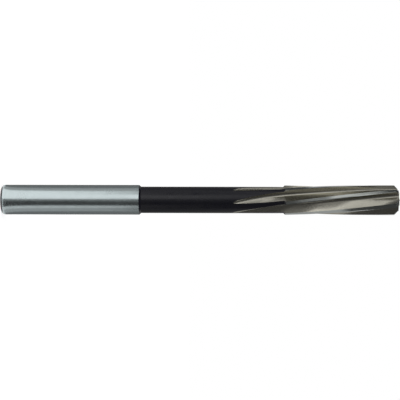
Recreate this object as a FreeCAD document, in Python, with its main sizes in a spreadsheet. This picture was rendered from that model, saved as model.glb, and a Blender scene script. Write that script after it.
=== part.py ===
import FreeCAD, Part
import Sketcher
import math
import os

# Machine reamer for a 10 mm hole, ground from one bar of high-speed steel.
# It stands on its shank end: the axis is Z and the tip points up.
# From the bottom: plain shank, thinner neck, fluted head with a 45 degree lead.

DIMENSIONS = [
    # alias, value in mm or degrees, what it is
    ("total_length", 133.0, "shank end to tip"),
    ("shank_radius", 5.0, "plain shank"),
    ("shank_length", 46.1, "shank end to the start of the shoulder"),
    ("shank_chamfer", 0.7, "45 degree chamfer on the shank end"),
    ("shoulder_length", 0.6, "slope from shank to neck"),
    ("neck_radius", 4.44, "neck"),
    ("step_length", 0.5, "slope from neck to head"),
    ("head_radius", 5.0, "cutting radius"),
    ("head_start", 95.0, "shank end to the fluted head"),
    ("shank_centre_pilot", 1.0, "radius of the shank end's centre drilling"),
    ("shank_centre_mouth", 2.125, "radius of its 60 degree mouth"),
    ("shank_centre_depth", 4.8, "its depth"),
    ("tip_centre_pilot", 0.8, "radius of the tip's centre drilling"),
    ("tip_centre_mouth", 1.675, "radius of its 60 degree mouth"),
    ("tip_centre_depth", 3.9, "its depth"),
    ("flute_count", 6, "cutting edges"),
    ("division_first", 62.0833, "angle from the first edge to the second"),
    ("division_second", 59.8833, "angle from the second edge to the third"),
    ("twist_rate", 1.407, "degrees a millimetre, a 7 degree left-hand helix"),
    ("edge_angle", 235.44, "polar angle of the first cutting edge at the tip"),
    ("rake_depth", 1.1, "straight part of the radial rake face"),
    ("root_radius", 0.85, "round at the foot of the rake face"),
    ("back_radius", 15.0, "hollow back of the flute"),
    ("flute_width", 45.8, "angle from cutting edge to heel on the head's circle"),
    ("cutter_radius", 6.4, "outer limit of a cut's section"),
    ("cut_top", 135.0, "the cuts run past the tip to here"),
    ("flute_pitch", 4.0, "distance between the flute's sections"),
    ("wheel_radius", 108.0, "grinding wheel that leaves the flutes' run-out"),
    ("full_depth_start", 97.0, "the flutes are at full depth from here to the tip"),
    ("lift_angle", 63.0, "direction in which the wheel lifts, from the rake face"),
    ("margin_width", 3.2, "angle of the round margin behind a cutting edge"),
    ("clearance_angle", 10.0, "flat clearance behind the margin"),
    ("clearance_reach", 25.0, "angle behind the edge where the clearance cut ends"),
    ("clearance_pitch", 6.0, "distance between the clearance cut's sections"),
    ("lead_length", 1.2, "45 degree lead chamfer"),
    ("lead_clearance", 10.0, "clearance behind the lead's edges"),
    ("lead_overlap", 4.0, "angle ahead of the edge where a lead cut starts"),
    ("lead_sweep", 28.0, "angle that one lead cut covers"),
    ("lead_overrun", 0.8, "a lead cut runs past its chamfer by this"),
]

FLUTE_SECTIONS = 17
CLEARANCE_SECTIONS = 8

ORIGIN = FreeCAD.Vector(0, 0, 0)
Z_UP = FreeCAD.Vector(0, 0, 1)


def make_sheet(doc):
    sheet = doc.addObject("Spreadsheet::Sheet", "Dims")
    for row, (alias, value, note) in enumerate(DIMENSIONS, start=1):
        sheet.set("A%d" % row, str(value))
        sheet.setAlias("A%d" % row, alias)
        sheet.set("B%d" % row, note)
    doc.recompute()
    return sheet


def polar(radius, degrees):
    angle = math.radians(degrees)
    return FreeCAD.Vector(radius * math.cos(angle), radius * math.sin(angle), 0)


def origin_feature(body, role):
    for feature in body.Origin.OriginFeatures:
        if feature.Role == role:
            return feature
    raise RuntimeError("the body has no " + role)


def new_sketch(body, name, plane):
    sketch = body.newObject("Sketcher::SketchObject", name)
    sketch.AttachmentSupport = [(origin_feature(body, plane), "")]
    sketch.MapMode = "FlatFace"
    return sketch


def bind(sketch, constraint, expression):
    index = sketch.addConstraint(constraint)
    sketch.setExpression("Constraints[%d]" % index, expression)


def bind_point(sketch, geometry, end, x_size, y_size):
    """Hold a point at two distances from the sketch's origin. None keeps it on the axis."""
    if x_size is None:
        sketch.addConstraint(Sketcher.Constraint("PointOnObject", geometry, end, -2))
    else:
        value = float(sketch.evalExpression(x_size))
        bind(sketch, Sketcher.Constraint("DistanceX", -1, 1, geometry, end, value), x_size)
    if y_size is None:
        sketch.addConstraint(Sketcher.Constraint("PointOnObject", geometry, end, -1))
    else:
        value = float(sketch.evalExpression(y_size))
        bind(sketch, Sketcher.Constraint("DistanceY", -1, 1, geometry, end, value), y_size)


def draw_outline(sketch, corners):
    """Closed straight-sided outline through (x, y) pairs of sheet expressions."""
    points = []
    for corner in corners:
        x, y = (0.0 if size is None else float(sketch.evalExpression(size)) for size in corner)
        points.append(FreeCAD.Vector(x, y, 0))
    last = len(points) - 1
    for index, point in enumerate(points):
        following = points[0] if index == last else points[index + 1]
        sketch.addGeometry(Part.LineSegment(point, following), False)
    for index, (x_size, y_size) in enumerate(corners):
        following = 0 if index == last else index + 1
        sketch.addConstraint(Sketcher.Constraint("Coincident", index, 2, following, 1))
        bind_point(sketch, index, 1, x_size, y_size)


def revolve(body, kind, name, sketch):
    feature = body.newObject(kind, name)
    feature.Profile = sketch
    feature.ReferenceAxis = (sketch, ["V_Axis"])
    feature.Angle = 360
    return feature


def make_blank(body):
    """The turned blank: shank, shoulder, neck, step and head."""
    sketch = new_sketch(body, "BlankProfile", "XZ_Plane")
    draw_outline(sketch, [
        (None, None),
        ("Dims.shank_radius - Dims.shank_chamfer", None),
        ("Dims.shank_radius", "Dims.shank_chamfer"),
        ("Dims.shank_radius", "Dims.shank_length"),
        ("Dims.neck_radius", "Dims.shank_length + Dims.shoulder_length"),
        ("Dims.neck_radius", "Dims.head_start - Dims.step_length"),
        ("Dims.head_radius", "Dims.head_start"),
        ("Dims.head_radius", "Dims.total_length"),
        (None, "Dims.total_length"),
    ])
    return revolve(body, "PartDesign::Revolution", "Blank", sketch)


def make_centre(body, name, alias, face, inward):
    """Centre drilling: a 60 degree mouth, a pilot, and the drill's 120 degree point."""
    sketch = new_sketch(body, name + "Profile", "XZ_Plane")
    mouth = "Dims.%s_mouth" % alias
    pilot = "Dims.%s_pilot" % alias
    depth = "Dims.%s_depth" % alias
    draw_outline(sketch, [
        (None, face),
        (mouth, face),
        (pilot, "%s %s (%s - %s) / tan(30 deg)" % (face, inward, mouth, pilot)),
        (pilot, "%s %s %s" % (face, inward, depth)),
        (None, "%s %s (%s + %s / tan(60 deg))" % (face, inward, depth, pilot)),
    ])
    return revolve(body, "PartDesign::Groove", name, sketch)


def place_section(sketch, sections_above, pitch):
    """Put a section at its height, turned by the helix. Returns both as expressions."""
    height = "(Dims.cut_top - %d * Dims.%s)" % (sections_above, pitch)
    turn = "(Dims.edge_angle + Dims.twist_rate * (Dims.total_length - %s))" % height
    sketch.AttachmentOffset = FreeCAD.Placement(ORIGIN, FreeCAD.Rotation(Z_UP, 10))
    sketch.setExpression("AttachmentOffset.Base.z", height)
    sketch.setExpression("AttachmentOffset.Rotation.Angle", turn)
    return height, turn


def lift_section(sketch, height, turn):
    """Move a flute's section out of the bar along the grinding wheel's arc."""
    reach = "max(0; Dims.full_depth_start - %s)" % height
    lift = "(Dims.wheel_radius - sqrt(Dims.wheel_radius^2 - %s^2))" % reach
    heading = "(%s + Dims.lift_angle)" % turn
    sketch.setExpression("AttachmentOffset.Base.x", "%s * cos(%s)" % (lift, heading))
    sketch.setExpression("AttachmentOffset.Base.y", "%s * sin(%s)" % (lift, heading))


def farther_crossing(centre_a, radius_a, centre_b, radius_b):
    """Of the two points where two circles cross, the one farther from the axis."""
    gap = centre_b - centre_a
    along = (gap.Length ** 2 + radius_a ** 2 - radius_b ** 2) / (2 * gap.Length)
    across = math.sqrt(radius_a ** 2 - along ** 2)
    unit = gap / gap.Length
    side = FreeCAD.Vector(-unit.y, unit.x, 0) * across
    foot = centre_a + unit * along
    return max((foot + side, foot - side), key=lambda point: point.Length)


def arc(centre, radius, start, end):
    """Counter-clockwise arc."""
    first = math.atan2(start.y - centre.y, start.x - centre.x)
    last = math.atan2(end.y - centre.y, end.x - centre.x)
    return Part.ArcOfCircle(Part.Circle(centre, Z_UP, radius), first, last)


def draw_flute(sketch, sheet):
    """Flute in section: X runs up the rake face, and the hollow is on the side of +Y."""
    root = sheet.root_radius
    back = sheet.back_radius
    outer = sheet.cutter_radius
    rake_top = FreeCAD.Vector(outer, 0, 0)
    rake_foot = FreeCAD.Vector(sheet.head_radius - sheet.rake_depth, 0, 0)
    root_centre = rake_foot + FreeCAD.Vector(0, root, 0)
    heel = polar(sheet.head_radius, sheet.flute_width)
    back_centre = farther_crossing(root_centre, back - root, heel, back)
    root_end = root_centre + (root_centre - back_centre) * (root / (back - root))
    back_end = farther_crossing(back_centre, back, heel, outer - sheet.head_radius)

    rake, root_arc, back_arc, cap, heel_mark = range(5)
    sketch.addGeometry(Part.LineSegment(rake_top, rake_foot), False)
    sketch.addGeometry(arc(root_centre, root, root_end, rake_foot), False)
    sketch.addGeometry(arc(back_centre, back, back_end, root_end), False)
    sketch.addGeometry(Part.LineSegment(back_end, rake_top), False)
    sketch.addGeometry(Part.Point(heel), True)

    sketch.addConstraint(Sketcher.Constraint("Tangent", rake, 2, root_arc, 2))
    sketch.addConstraint(Sketcher.Constraint("Tangent", root_arc, 1, back_arc, 2))
    sketch.addConstraint(Sketcher.Constraint("Coincident", back_arc, 1, cap, 1))
    sketch.addConstraint(Sketcher.Constraint("Coincident", cap, 2, rake, 1))
    sketch.addConstraint(Sketcher.Constraint("PointOnObject", heel_mark, 1, back_arc))
    bind(sketch, Sketcher.Constraint("Radius", root_arc, root), "Dims.root_radius")
    bind(sketch, Sketcher.Constraint("Radius", back_arc, back), "Dims.back_radius")
    bind_point(sketch, rake, 1, "Dims.cutter_radius", None)
    bind_point(sketch, rake, 2, "Dims.head_radius - Dims.rake_depth", None)
    bind_point(
        sketch, heel_mark, 1,
        "Dims.head_radius * cos(Dims.flute_width)",
        "Dims.head_radius * sin(Dims.flute_width)",
    )
    reach = Sketcher.Constraint("Distance", heel_mark, 1, back_arc, 1, outer - sheet.head_radius)
    bind(sketch, reach, "Dims.cutter_radius - Dims.head_radius")


def draw_clearance(sketch, sheet):
    """Clearance cut in section: one flat from the margin's end down past the heel."""
    margin = "cos(Dims.margin_width)", "-sin(Dims.margin_width)"
    reach = "cos(Dims.clearance_reach)", "-sin(Dims.clearance_reach)"
    dip = "cos(Dims.clearance_reach - Dims.margin_width - Dims.clearance_angle)"
    flat_end = "Dims.head_radius * cos(Dims.clearance_angle) / %s" % dip
    draw_outline(sketch, [
        tuple("Dims.head_radius * %s" % part for part in margin),
        tuple("%s * %s" % (flat_end, part) for part in reach),
        tuple("Dims.cutter_radius * %s" % part for part in reach),
        tuple("Dims.cutter_radius * %s" % part for part in margin),
    ])


def loft_cut(body, name, sketches):
    feature = body.newObject("PartDesign::SubtractiveLoft", name)
    feature.Profile = sketches[0]
    feature.Sections = sketches[1:]
    return feature


def make_flute(body, sheet):
    """One helical flute with its run-out in the neck."""
    sketches = []
    for index in range(FLUTE_SECTIONS):
        sketch = new_sketch(body, "FluteSection%02d" % (index + 1), "XY_Plane")
        height, turn = place_section(sketch, FLUTE_SECTIONS - 1 - index, "flute_pitch")
        lift_section(sketch, height, turn)
        draw_flute(sketch, sheet)
        sketches.append(sketch)
    return loft_cut(body, "Flute", sketches)


def make_clearance(body, sheet):
    """The flat behind one cutting edge, which leaves a narrow round margin."""
    sketches = []
    for index in range(CLEARANCE_SECTIONS):
        sketch = new_sketch(body, "ClearanceSection%02d" % (index + 1), "XY_Plane")
        place_section(sketch, CLEARANCE_SECTIONS - 1 - index, "clearance_pitch")
        draw_clearance(sketch, sheet)
        sketches.append(sketch)
    return loft_cut(body, "Clearance", sketches)


def make_lead(body):
    """The lead of one tooth: a 45 degree cone about an axis set off to one side.

    The set-off makes the chamfer fall away behind its cutting edge.
    """
    sketch = new_sketch(body, "LeadProfile", "XZ_Plane")
    offset = "Dims.head_radius * tan(Dims.lead_clearance)"
    axis_angle = "(Dims.edge_angle + 90)"
    start_angle = "Dims.edge_angle - Dims.lead_clearance + Dims.lead_overlap"
    turned = FreeCAD.Rotation(FreeCAD.Vector(0, 1, 0), 10)
    sketch.AttachmentOffset = FreeCAD.Placement(ORIGIN, turned)
    sketch.setExpression("AttachmentOffset.Base.x", "%s * cos(%s)" % (offset, axis_angle))
    sketch.setExpression("AttachmentOffset.Base.z", "-%s * sin(%s)" % (offset, axis_angle))
    sketch.setExpression("AttachmentOffset.Rotation.Angle", start_angle)

    edge = "Dims.head_radius / cos(Dims.lead_clearance)"
    outside = "%s + Dims.lead_overrun" % edge
    inside = "%s - Dims.lead_length - Dims.lead_overrun" % edge
    below = "Dims.total_length - Dims.lead_length - Dims.lead_overrun"
    above = "Dims.total_length + Dims.lead_overrun"
    draw_outline(sketch, [(outside, below), (outside, above), (inside, above)])

    feature = revolve(body, "PartDesign::Groove", "Lead", sketch)
    feature.Reversed = True
    feature.setExpression("Angle", "Dims.lead_sweep")
    return feature


def repeat_teeth(body, sheet, cuts):
    """Repeat one tooth's cuts round the axis.

    The unequal division keeps the head from chattering. The third angle closes the half
    turn, so that opposed edges stay 180 degrees apart and the diameter can be measured.
    """
    first = sheet.division_first
    second = sheet.division_second
    half_turn = [first, second, 180 - first - second]
    pattern = body.newObject("PartDesign::PolarPattern", "Teeth")
    pattern.Originals = cuts
    pattern.Axis = (origin_feature(body, "Z_Axis"), [""])
    pattern.Mode = "Spacing"
    pattern.Occurrences = int(sheet.flute_count)
    pattern.Spacings = (half_turn * 2)[:-1]
    body.Tip = pattern
    return pattern


def check_cut(doc, before, feature):
    """A cut that points away from the steel removes nothing and shows no error."""
    doc.recompute()
    if feature.Shape.Volume > before - 0.01:
        raise RuntimeError("%s cuts nothing" % feature.Name)
    return feature.Shape.Volume


def make_reamer(doc, sheet):
    body = doc.addObject("PartDesign::Body", "Reamer")
    body.Label = "reamer"
    blank = make_blank(body)
    doc.recompute()
    volume = blank.Shape.Volume
    bottom = make_centre(body, "ShankCentre", "shank_centre", "0 * Dims.total_length", "+")
    volume = check_cut(doc, volume, bottom)
    top = make_centre(body, "TipCentre", "tip_centre", "Dims.total_length", "-")
    volume = check_cut(doc, volume, top)
    cuts = []
    for make in (make_flute, make_clearance):
        cuts.append(make(body, sheet))
        volume = check_cut(doc, volume, cuts[-1])
    cuts.append(make_lead(body))
    volume = check_cut(doc, volume, cuts[-1])
    teeth = repeat_teeth(body, sheet, cuts)
    check_cut(doc, volume, teeth)
    return body


def check_document(doc):
    for item in doc.Objects:
        if "Invalid" in item.State or "Error" in item.State:
            raise RuntimeError("%s failed: %s" % (item.Name, item.State))


def write_parts(bodies):
    os.makedirs("parts", exist_ok=True)
    for body in bodies:
        if body.Shape.isNull() or not body.Shape.isValid():
            raise RuntimeError("%s has no valid shape" % body.Label)
        if len(body.Shape.Solids) != 1:
            raise RuntimeError("%s isn't one solid" % body.Label)
        body.Shape.exportStep("parts/%s.step" % body.Label)
        print(body.Label, "volume", round(body.Shape.Volume, 1), "mm3")


def main():
    doc = FreeCAD.newDocument("MachineReamer")
    sheet = make_sheet(doc)
    reamer = make_reamer(doc, sheet)
    doc.recompute()
    check_document(doc)
    write_parts([reamer])


main()
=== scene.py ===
import math

import bmesh
import bpy
from mathutils import Matrix, Vector


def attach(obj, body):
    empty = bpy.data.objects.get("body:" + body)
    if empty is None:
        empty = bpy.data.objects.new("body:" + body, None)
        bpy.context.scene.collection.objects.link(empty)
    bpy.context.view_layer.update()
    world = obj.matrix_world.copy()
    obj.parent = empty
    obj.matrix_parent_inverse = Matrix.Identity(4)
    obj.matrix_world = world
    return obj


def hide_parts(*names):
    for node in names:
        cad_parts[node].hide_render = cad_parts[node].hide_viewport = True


# Machine reamer, standing on its shank end. Sizes are in millimetres until a mesh is finished.

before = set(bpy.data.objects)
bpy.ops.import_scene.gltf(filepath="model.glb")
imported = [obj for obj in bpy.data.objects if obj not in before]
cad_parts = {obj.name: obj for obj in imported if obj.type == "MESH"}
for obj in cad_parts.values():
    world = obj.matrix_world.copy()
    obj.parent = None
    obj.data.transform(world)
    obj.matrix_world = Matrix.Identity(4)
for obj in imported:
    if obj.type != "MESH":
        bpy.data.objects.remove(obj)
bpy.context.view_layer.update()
MM = 0.001

# The turned blank.
TIP = 133.0
BAR_RADIUS = 5.0
SHANK_END = 46.1
END_CHAMFER = 0.7
NECK_RADIUS = 4.44
NECK_START = SHANK_END + 0.6
HEAD_START = 95.0
NECK_END = HEAD_START - 0.5
BROKEN_EDGE = 0.06
NEAR = 0.01
TURN_STEPS = 256

# Centre drillings: mouth radius, pilot radius, depth of the full pilot.
SHANK_CENTRE = (2.125, 1.0, 4.8)
TIP_CENTRE = (1.675, 0.8, 3.9)

# Teeth: where the first edge ends at the tip, the helix, and the unequal division.
FIRST_EDGE = 235.44
TWIST = 1.407
DIVISION = (62.0833, 59.8833, 58.0334)

# One flute in section, and the grinding wheel that makes it.
CUT_TOP = 135.0
OUTSIDE = 6.4
RAKE_DEPTH = 1.1
ROOT_RADIUS = 0.85
BACK_RADIUS = 15.0
FLUTE_WIDTH = 45.8
WHEEL_RADIUS = 108.0
FULL_DEPTH = 97.0
LIFT_HEADING = 63.0
FLUTE_STEP = 0.5
FLUTE_BOTTOM = 71.0
ROOT_STEPS = 28
BACK_STEPS = 18

# The land behind each edge, and the lead.
MARGIN = 3.2
CLEARANCE = 10.0
CLEARANCE_REACH = 25.0
CLEARANCE_BOTTOM = 93.0
LEAD = 1.2
LEAD_CLEARANCE = 10.0
LEAD_OVERLAP = 4.0
LEAD_SWEEP = 28.0
LEAD_OVERRUN = 0.8
LEAD_STEPS = 40
CREASE = math.radians(5.5)

# Order of the finishes on the piece.
SHANK, OXIDE, LAND, FLUTE = range(4)

# Grinding lines and faint patches in the finishes.
SHADE_CHANGE = 0.07
GLOSS_CHANGE = 0.15
LINE_DETAIL = 3
PATCH_SCALE = 260
LINE_RELIEF = 0.12
LINE_DEPTH = 0.002 * MM
GRAIN_AROUND = (300, 300, 16000)
GRAIN_ALONG = (9000, 9000, 60)

# Camera.
CAMERA_DISTANCE = 362 * MM
CAMERA_HEIGHT = 66.5 * MM
LENS = 96.8
CAMERA_ROLL = math.radians(0.106)

# Floor, light of the room and the lamp.
FLOOR_RADIUS = 6
FLOOR_COLOUR = (0.9, 0.9, 0.9, 1)
FLOOR_GLOW = 1.2
FLOOR_GLOW_SHARE = 0.65
ROOM_LEVEL = 0.8
ROOM_LEVEL_SEEN = 1.0
LAMP_PLACE = (-0.6, -0.6, 0.7)
LAMP_SIDE = 0.6
LAMP_WATTS = 4


# ---------------------------------------------------------------- camera
def make_camera():
    """Level with the middle of the tool, and turned so that the tip points right."""
    data = bpy.data.cameras.new("camera")
    data.sensor_width = 36
    data.lens = LENS
    data.clip_start, data.clip_end = 0.01, 20
    camera = bpy.data.objects.new("camera", data)
    bpy.context.scene.collection.objects.link(camera)
    right, up, back = Vector((0, 0, 1)), Vector((-1, 0, 0)), Vector((0, -1, 0))
    turn = Matrix((right, up, back)).transposed().to_4x4()
    place = Matrix.Translation((0, -CAMERA_DISTANCE, CAMERA_HEIGHT))
    camera.matrix_world = place @ turn @ Matrix.Rotation(CAMERA_ROLL, 4, "Z")
    bpy.context.scene.camera = camera


# ---------------------------------------------------------------- shapes
def polar(radius, degrees):
    angle = math.radians(degrees)
    return Vector((radius * math.cos(angle), radius * math.sin(angle), 0))


def about_z(degrees):
    return Matrix.Rotation(math.radians(degrees), 4, "Z")


def edges_among(geometry):
    return [item for item in geometry if isinstance(item, bmesh.types.BMEdge)]


def verts_among(geometry):
    return [item for item in geometry if isinstance(item, bmesh.types.BMVert)]


def chain(bm, points):
    """Straight runs from point to point."""
    verts = [bm.verts.new(point) for point in points]
    for first, second in zip(verts, verts[1:]):
        bm.edges.new((first, second))
    return verts


def swing(bm, vert, centre, angle, steps):
    """Arc that starts at a vertex. Returns the vertex at its far end."""
    made = bmesh.ops.spin(
        bm, geom=[vert], cent=centre, axis=(0, 0, 1), angle=angle, steps=steps, use_duplicate=False
    )
    return verts_among(made["geom_last"])[0]


def centre_drilling(size, face, inward):
    """Half section of a 60 degree centre, from its mouth to the drill's point."""
    mouth, pilot, depth = size
    cone = (mouth - pilot) / math.tan(math.radians(30))
    point = pilot / math.tan(math.radians(60))
    return [
        (mouth, 0, face),
        (pilot, 0, face + inward * cone),
        (pilot, 0, face + inward * depth),
        (0, 0, face + inward * (depth + point)),
    ]


def turn_blank():
    """The turned bar with its two centre drillings."""
    bm = bmesh.new()
    profile = list(reversed(centre_drilling(SHANK_CENTRE, 0, 1))) + [
        (BAR_RADIUS - END_CHAMFER, 0, 0),
        (BAR_RADIUS, 0, END_CHAMFER),
        (BAR_RADIUS, 0, SHANK_END),
        (NECK_RADIUS, 0, NECK_START),
        (NECK_RADIUS, 0, NECK_END),
        (BAR_RADIUS, 0, HEAD_START),
        (BAR_RADIUS, 0, TIP),
    ] + centre_drilling(TIP_CENTRE, TIP, -1)
    verts = chain(bm, profile)
    corners = [vert for vert in verts if vert.co.x > NEAR and vert.co.z < HEAD_START - NEAR]
    bmesh.ops.bevel(
        bm, geom=corners, offset=BROKEN_EDGE, offset_type="OFFSET", segments=3, profile=0.5,
        affect="VERTICES", material=-1,
    )
    bmesh.ops.spin(
        bm, geom=bm.verts[:] + bm.edges[:], cent=(0, 0, 0), axis=(0, 0, 1),
        angle=math.tau, steps=TURN_STEPS, use_merge=True, use_duplicate=False,
    )
    bmesh.ops.remove_doubles(bm, verts=bm.verts[:], dist=1e-5)
    bmesh.ops.recalc_face_normals(bm, faces=bm.faces[:])
    for face in bm.faces:
        middle = face.calc_center_median()
        across = math.hypot(middle.x, middle.y)
        if middle.z > HEAD_START:
            face.material_index = LAND
        elif across > BAR_RADIUS - NEAR and END_CHAMFER - NEAR < middle.z < SHANK_END + NEAR:
            face.material_index = SHANK
        else:
            face.material_index = OXIDE
    return bm


def farther_crossing(centre_a, radius_a, centre_b, radius_b):
    """Of the two points where two circles cross, the one farther from the axis."""
    gap = centre_b - centre_a
    along = (gap.length ** 2 + radius_a ** 2 - radius_b ** 2) / (2 * gap.length)
    across = math.sqrt(radius_a ** 2 - along ** 2)
    unit = gap.normalized()
    side = Vector((-unit.y, unit.x, 0)) * across
    foot = centre_a + unit * along
    return max((foot + side, foot - side), key=lambda point: point.length)


def swept_angle(centre, start, end):
    """Clockwise angle from start to end about centre, as a negative number."""
    first, last = start - centre, end - centre
    angle = math.atan2(last.y, last.x) - math.atan2(first.y, first.x)
    return angle if angle < 0 else angle - math.tau


def draw_flute(bm):
    """Closed section of a flute: X runs up the rake face, and the hollow is towards +Y."""
    rake_foot = Vector((BAR_RADIUS - RAKE_DEPTH, 0, 0))
    root_centre = rake_foot + Vector((0, ROOT_RADIUS, 0))
    heel = polar(BAR_RADIUS, FLUTE_WIDTH)
    back_centre = farther_crossing(root_centre, BACK_RADIUS - ROOT_RADIUS, heel, BACK_RADIUS)
    outward = (root_centre - back_centre).normalized()
    root_end = root_centre + outward * ROOT_RADIUS
    back_end = farther_crossing(back_centre, BACK_RADIUS, heel, OUTSIDE - BAR_RADIUS)
    top, foot = chain(bm, [Vector((OUTSIDE, 0, 0)), rake_foot])
    root = swing(bm, foot, root_centre, swept_angle(root_centre, rake_foot, root_end), ROOT_STEPS)
    back = swing(bm, root, back_centre, swept_angle(back_centre, root_end, back_end), BACK_STEPS)
    bm.edges.new((back, top))


def draw_clearance(bm):
    """Closed section of a clearance cut: its flat starts where the round margin ends."""
    dip = CLEARANCE_REACH - MARGIN - CLEARANCE
    flat_end = BAR_RADIUS * math.cos(math.radians(CLEARANCE)) / math.cos(math.radians(dip))
    verts = chain(bm, [
        polar(BAR_RADIUS, -MARGIN),
        polar(flat_end, -CLEARANCE_REACH),
        polar(OUTSIDE, -CLEARANCE_REACH),
        polar(OUTSIDE, -MARGIN),
    ])
    bm.edges.new((verts[-1], verts[0]))


def wheel_lift(height):
    reach = max(0, FULL_DEPTH - height)
    return WHEEL_RADIUS - math.sqrt(WHEEL_RADIUS ** 2 - reach ** 2)


def section_place(height):
    """Where a tooth's section lies at a height: turned by the helix and lifted by the wheel."""
    turn = about_z(FIRST_EDGE + TWIST * (TIP - height))
    lift = polar(wheel_lift(height), LIFT_HEADING)
    return Matrix.Translation((0, 0, height)) @ turn @ Matrix.Translation(lift)


def sweep_down(bm, bottom, step):
    """Draw the section in bm down along the helix, from above the tip."""
    ring = bm.edges[:]
    bmesh.ops.transform(bm, matrix=section_place(CUT_TOP), verts=bm.verts[:])
    bmesh.ops.contextual_create(bm, geom=ring)
    steps = round((CUT_TOP - bottom) / step)
    height = CUT_TOP
    for index in range(1, steps + 1):
        following = CUT_TOP + (bottom - CUT_TOP) * index / steps
        made = bmesh.ops.extrude_edge_only(bm, edges=ring)
        fresh = set(verts_among(made["geom"]))
        ring = [edge for edge in edges_among(made["geom"]) if fresh.issuperset(edge.verts)]
        move = section_place(following) @ section_place(height).inverted()
        bmesh.ops.transform(bm, matrix=move, verts=verts_among(made["geom"]))
        height = following
    bmesh.ops.contextual_create(bm, geom=ring)


def lead_cutter(bm):
    """The lead of one tooth: a 45 degree cone about an axis set off to one side."""
    set_off = BAR_RADIUS * math.tan(math.radians(LEAD_CLEARANCE))
    axis = polar(set_off, FIRST_EDGE + 90)
    edge = BAR_RADIUS / math.cos(math.radians(LEAD_CLEARANCE))
    outside = edge + LEAD_OVERRUN
    inside = edge - LEAD - LEAD_OVERRUN
    below = TIP - LEAD - LEAD_OVERRUN
    above = TIP + LEAD_OVERRUN
    verts = chain(bm, [(outside, 0, below), (outside, 0, above), (inside, 0, above)])
    bm.edges.new((verts[-1], verts[0]))
    bmesh.ops.contextual_create(bm, geom=bm.edges[:])
    start = FIRST_EDGE - LEAD_CLEARANCE + LEAD_OVERLAP
    place = Matrix.Translation(axis) @ about_z(start)
    bmesh.ops.transform(bm, matrix=place, verts=bm.verts[:])
    bmesh.ops.spin(
        bm, geom=bm.verts[:] + bm.edges[:] + bm.faces[:], cent=axis, axis=(0, 0, 1),
        angle=-math.radians(LEAD_SWEEP), steps=LEAD_STEPS, use_duplicate=False,
    )


def repeat_cutter(bm):
    """Six cutters from the first, at the unequal division."""
    first = bm.verts[:] + bm.edges[:] + bm.faces[:]
    angle = 0
    for gap in (DIVISION * 2)[:-1]:
        angle += gap
        copies = verts_among(bmesh.ops.duplicate(bm, geom=first)["geom"])
        bmesh.ops.rotate(bm, cent=(0, 0, 0), matrix=about_z(angle).to_3x3(), verts=copies)


def as_object(bm, name, materials):
    mesh = bpy.data.meshes.new(name)
    bm.to_mesh(mesh)
    bm.free()
    for material in materials:
        mesh.materials.append(material)
    made = bpy.data.objects.new(name, mesh)
    bpy.context.scene.collection.objects.link(made)
    return made


def cut(piece, bm, finish, materials):
    """Take a cutter's volume off the piece. The cut faces get the given finish."""
    bmesh.ops.recalc_face_normals(bm, faces=bm.faces[:])
    for face in bm.faces:
        face.material_index = finish
    cutter = as_object(bm, "cutter", materials)
    modifier = piece.modifiers.new("cut", "BOOLEAN")
    modifier.operation = "DIFFERENCE"
    modifier.solver = "EXACT"
    modifier.material_mode = "INDEX"
    modifier.object = cutter
    graph = bpy.context.evaluated_depsgraph_get()
    result = bpy.data.meshes.new_from_object(piece.evaluated_get(graph))
    piece.modifiers.clear()
    piece.data = result
    bpy.data.objects.remove(cutter)


def make_reamer(materials):
    piece = as_object(turn_blank(), "ground_reamer", materials)
    flutes = bmesh.new()
    draw_flute(flutes)
    sweep_down(flutes, FLUTE_BOTTOM, FLUTE_STEP)
    repeat_cutter(flutes)
    cut(piece, flutes, FLUTE, materials)
    flats = bmesh.new()
    draw_clearance(flats)
    sweep_down(flats, CLEARANCE_BOTTOM, FLUTE_STEP)
    repeat_cutter(flats)
    cut(piece, flats, LAND, materials)
    leads = bmesh.new()
    lead_cutter(leads)
    repeat_cutter(leads)
    cut(piece, leads, LAND, materials)
    piece.data.transform(Matrix.Scale(MM, 4))
    for polygon in piece.data.polygons:
        polygon.use_smooth = True
    piece.data.set_sharp_from_angle(angle=CREASE)
    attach(piece, "root")
    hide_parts("reamer")
    return piece


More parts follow.
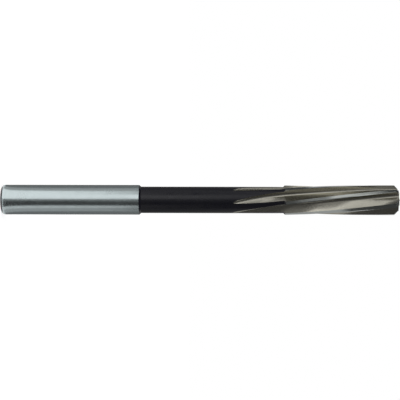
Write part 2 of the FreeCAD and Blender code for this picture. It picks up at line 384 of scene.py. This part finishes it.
# ---------------------------------------------------------------- finishes
def finish(name, colour, roughness, metallic, grain, twisted=False):
    """A finish with fine grinding lines. grain is the pattern's scale per metre along X, Y and Z."""
    material = bpy.data.materials.new(name)
    material.use_nodes = True
    nodes, links = material.node_tree.nodes, material.node_tree.links
    shader = nodes["Principled BSDF"]
    shader.inputs["Metallic"].default_value = metallic
    place = nodes.new("ShaderNodeTexCoord").outputs["Object"]
    if twisted:
        split = nodes.new("ShaderNodeSeparateXYZ")
        helix = nodes.new("ShaderNodeMath")
        helix.operation = "MULTIPLY"
        helix.inputs[1].default_value = math.radians(TWIST) / MM
        turn = nodes.new("ShaderNodeVectorRotate")
        turn.rotation_type = "Z_AXIS"
        links.new(place, split.inputs[0])
        links.new(split.outputs["Z"], helix.inputs[0])
        links.new(place, turn.inputs["Vector"])
        links.new(helix.outputs[0], turn.inputs["Angle"])
        place = turn.outputs[0]
    stretch = nodes.new("ShaderNodeMapping")
    stretch.inputs["Scale"].default_value = grain
    lines = nodes.new("ShaderNodeTexNoise")
    lines.inputs["Scale"].default_value = 1
    lines.inputs["Detail"].default_value = LINE_DETAIL
    patches = nodes.new("ShaderNodeTexNoise")
    patches.inputs["Scale"].default_value = PATCH_SCALE
    links.new(place, stretch.inputs["Vector"])
    links.new(stretch.outputs[0], lines.inputs["Vector"])
    links.new(place, patches.inputs["Vector"])
    shades = nodes.new("ShaderNodeMix")
    shades.data_type = "RGBA"
    shades.inputs["A"].default_value = (*(part * (1 - SHADE_CHANGE) for part in colour), 1)
    shades.inputs["B"].default_value = (*(part * (1 + SHADE_CHANGE) for part in colour), 1)
    links.new(lines.outputs["Fac"], shades.inputs["Factor"])
    links.new(shades.outputs["Result"], shader.inputs["Base Color"])
    gloss = nodes.new("ShaderNodeMapRange")
    gloss.inputs["From Min"].default_value = 0.3
    gloss.inputs["From Max"].default_value = 0.7
    gloss.inputs["To Min"].default_value = roughness * (1 - GLOSS_CHANGE)
    gloss.inputs["To Max"].default_value = roughness * (1 + GLOSS_CHANGE)
    links.new(patches.outputs["Fac"], gloss.inputs["Value"])
    links.new(gloss.outputs["Result"], shader.inputs["Roughness"])
    bump = nodes.new("ShaderNodeBump")
    bump.inputs["Strength"].default_value = LINE_RELIEF
    bump.inputs["Distance"].default_value = LINE_DEPTH
    links.new(lines.outputs["Fac"], bump.inputs["Height"])
    links.new(bump.outputs["Normal"], shader.inputs["Normal"])
    return material


def make_finishes():
    """The finishes in the order SHANK, OXIDE, LAND, FLUTE."""
    return [
        finish("ground shank", (0.60, 0.68, 0.69), 0.24, 1, GRAIN_AROUND),
        finish("black oxide", (0.004, 0.004, 0.008), 0.30, 0, GRAIN_AROUND),
        finish("ground land", (0.68, 0.71, 0.68), 0.20, 1, GRAIN_AROUND),
        finish("ground flute", (0.68, 0.66, 0.57), 0.20, 1, GRAIN_ALONG, twisted=True),
    ]


# ---------------------------------------------------------------- room
# Stock for the cards that stand round the tool.
WHITE, PALE, GREY, DARK, BLACK = 1.0, 0.62, 0.38, 0.18, 0.05

# The cards of each tier, from the far side by way of +X, the camera's side and -X. Each card goes as
# far as the angle given, which is 0 at the camera's side and 90 at -X.
SHANK_CARDS = [
    (-100, DARK), (-65, GREY), (-45, PALE), (-10, BLACK), (5, DARK), (70, WHITE), (100, GREY), (180, DARK),
]
NECK_CARDS = [(-90, DARK), (-20, BLACK), (10, DARK), (40, WHITE), (70, BLACK), (100, GREY), (180, DARK)]
HEAD_CARDS = [(-80, GREY), (0, BLACK), (30, DARK), (80, PALE), (125, BLACK), (180, GREY)]
TOP_CARDS = [(-80, PALE), (-15, BLACK), (30, DARK), (50, PALE), (125, BLACK), (180, GREY)]

# Edges of the tiers, as radius and height. The lowest cards reach in along the floor to the tool.
CARD_FOOT = (0.008, 0.0002)
CARD_REACH = 0.3
FLOOR_CARD_TOP = 0.014
SHANK_TIER_TOP, NECK_TIER_TOP, HEAD_TIER_TOP, CARD_TOP = 0.031, 0.09, 0.167, 0.26
HOOD_EDGE = (0.02, 0.45)
HOOD_GLOW = 0.06
CARD_STEP = 5
TIERS = [
    ("shank_cards", [CARD_FOOT, (CARD_REACH, FLOOR_CARD_TOP), (CARD_REACH, SHANK_TIER_TOP)], SHANK_CARDS),
    ("neck_cards", [(CARD_REACH, SHANK_TIER_TOP), (CARD_REACH, NECK_TIER_TOP)], NECK_CARDS),
    ("head_cards", [(CARD_REACH, NECK_TIER_TOP), (CARD_REACH, HEAD_TIER_TOP)], HEAD_CARDS),
    ("top_cards", [(CARD_REACH, HEAD_TIER_TOP), (CARD_REACH, CARD_TOP)], TOP_CARDS),
    ("hood", [(CARD_REACH, CARD_TOP), HOOD_EDGE], [(180, HOOD_GLOW)]),
]


def plain_card(tone):
    material = bpy.data.materials.new("card")
    material.use_nodes = True
    nodes, links = material.node_tree.nodes, material.node_tree.links
    glow = nodes.new("ShaderNodeEmission")
    glow.inputs["Strength"].default_value = tone
    links.new(glow.outputs[0], nodes["Material Output"].inputs["Surface"])
    return material


def make_cards(name, profile, cards):
    """One tier of cards that the steel mirrors. Only its reflection is seen."""
    bm = bmesh.new()
    chain(bm, [(0, radius, height) for radius, height in profile])
    edge = bm.verts[:] + bm.edges[:]
    start = -180
    for index, (end, tone) in enumerate(cards):
        before = set(bm.faces)
        made = bmesh.ops.spin(
            bm, geom=edge, cent=(0, 0, 0), axis=(0, 0, 1), angle=-math.radians(end - start),
            steps=(end - start) // CARD_STEP, use_duplicate=False,
        )
        for face in set(bm.faces) - before:
            face.material_index = index
        edge = made["geom_last"]
        start = end
    ring = as_object(bm, name, [plain_card(tone) for end, tone in cards])
    ring.visible_camera = False
    ring.visible_diffuse = False
    ring.visible_shadow = False
    ring.visible_transmission = False


def make_floor():
    bm = bmesh.new()
    bmesh.ops.create_circle(bm, cap_ends=True, segments=64, radius=FLOOR_RADIUS)
    material = bpy.data.materials.new("pale floor")
    material.use_nodes = True
    nodes, links = material.node_tree.nodes, material.node_tree.links
    shader = nodes["Principled BSDF"]
    shader.inputs["Base Color"].default_value = FLOOR_COLOUR
    shader.inputs["Roughness"].default_value = 0.9
    shader.inputs["Specular IOR Level"].default_value = 0
    glow = nodes.new("ShaderNodeEmission")
    glow.inputs["Strength"].default_value = FLOOR_GLOW
    rays = nodes.new("ShaderNodeLightPath")
    seen = nodes.new("ShaderNodeMath")
    seen.operation = "MAXIMUM"
    share = nodes.new("ShaderNodeMath")
    share.operation = "MULTIPLY"
    share.inputs[1].default_value = FLOOR_GLOW_SHARE
    mix = nodes.new("ShaderNodeMixShader")
    links.new(rays.outputs["Is Camera Ray"], seen.inputs[0])
    links.new(rays.outputs["Is Glossy Ray"], seen.inputs[1])
    links.new(seen.outputs[0], share.inputs[0])
    links.new(share.outputs[0], mix.inputs[0])
    links.new(shader.outputs[0], mix.inputs[1])
    links.new(glow.outputs[0], mix.inputs[2])
    links.new(mix.outputs[0], nodes["Material Output"].inputs["Surface"])
    floor = as_object(bm, "floor", [material])


def make_room():
    world = bpy.data.worlds.new("room")
    bpy.context.scene.world = world
    world.use_nodes = True
    nodes, links = world.node_tree.nodes, world.node_tree.links
    back = nodes["Background"]
    back.inputs["Color"].default_value = (1, 1, 1, 1)
    rays = nodes.new("ShaderNodeLightPath")
    seen = nodes.new("ShaderNodeMath")
    seen.operation = "ADD"
    more = nodes.new("ShaderNodeMath")
    more.operation = "ADD"
    more.use_clamp = True
    level = nodes.new("ShaderNodeMapRange")
    level.inputs["To Min"].default_value = ROOM_LEVEL
    level.inputs["To Max"].default_value = ROOM_LEVEL_SEEN
    links.new(rays.outputs["Is Camera Ray"], seen.inputs[0])
    links.new(rays.outputs["Is Glossy Ray"], seen.inputs[1])
    links.new(seen.outputs[0], more.inputs[0])
    links.new(rays.outputs["Is Transmission Ray"], more.inputs[1])
    links.new(more.outputs[0], level.inputs["Value"])
    links.new(level.outputs["Result"], back.inputs["Strength"])


def make_lamp():
    data = bpy.data.lights.new("key", "AREA")
    data.shape = "RECTANGLE"
    data.size = data.size_y = LAMP_SIDE
    data.energy = LAMP_WATTS
    lamp = bpy.data.objects.new("key", data)
    bpy.context.scene.collection.objects.link(lamp)
    aim = Vector((0, 0, TIP * MM / 2))
    lamp.location = LAMP_PLACE
    lamp.rotation_euler = (aim - Vector(LAMP_PLACE)).to_track_quat("-Z", "Y").to_euler()
    lamp.visible_glossy = False


make_camera()
make_room()
make_floor()
for tier in TIERS:
    make_cards(*tier)
make_lamp()
make_reamer(make_finishes())
bpy.context.scene.view_settings.view_transform = "Standard"
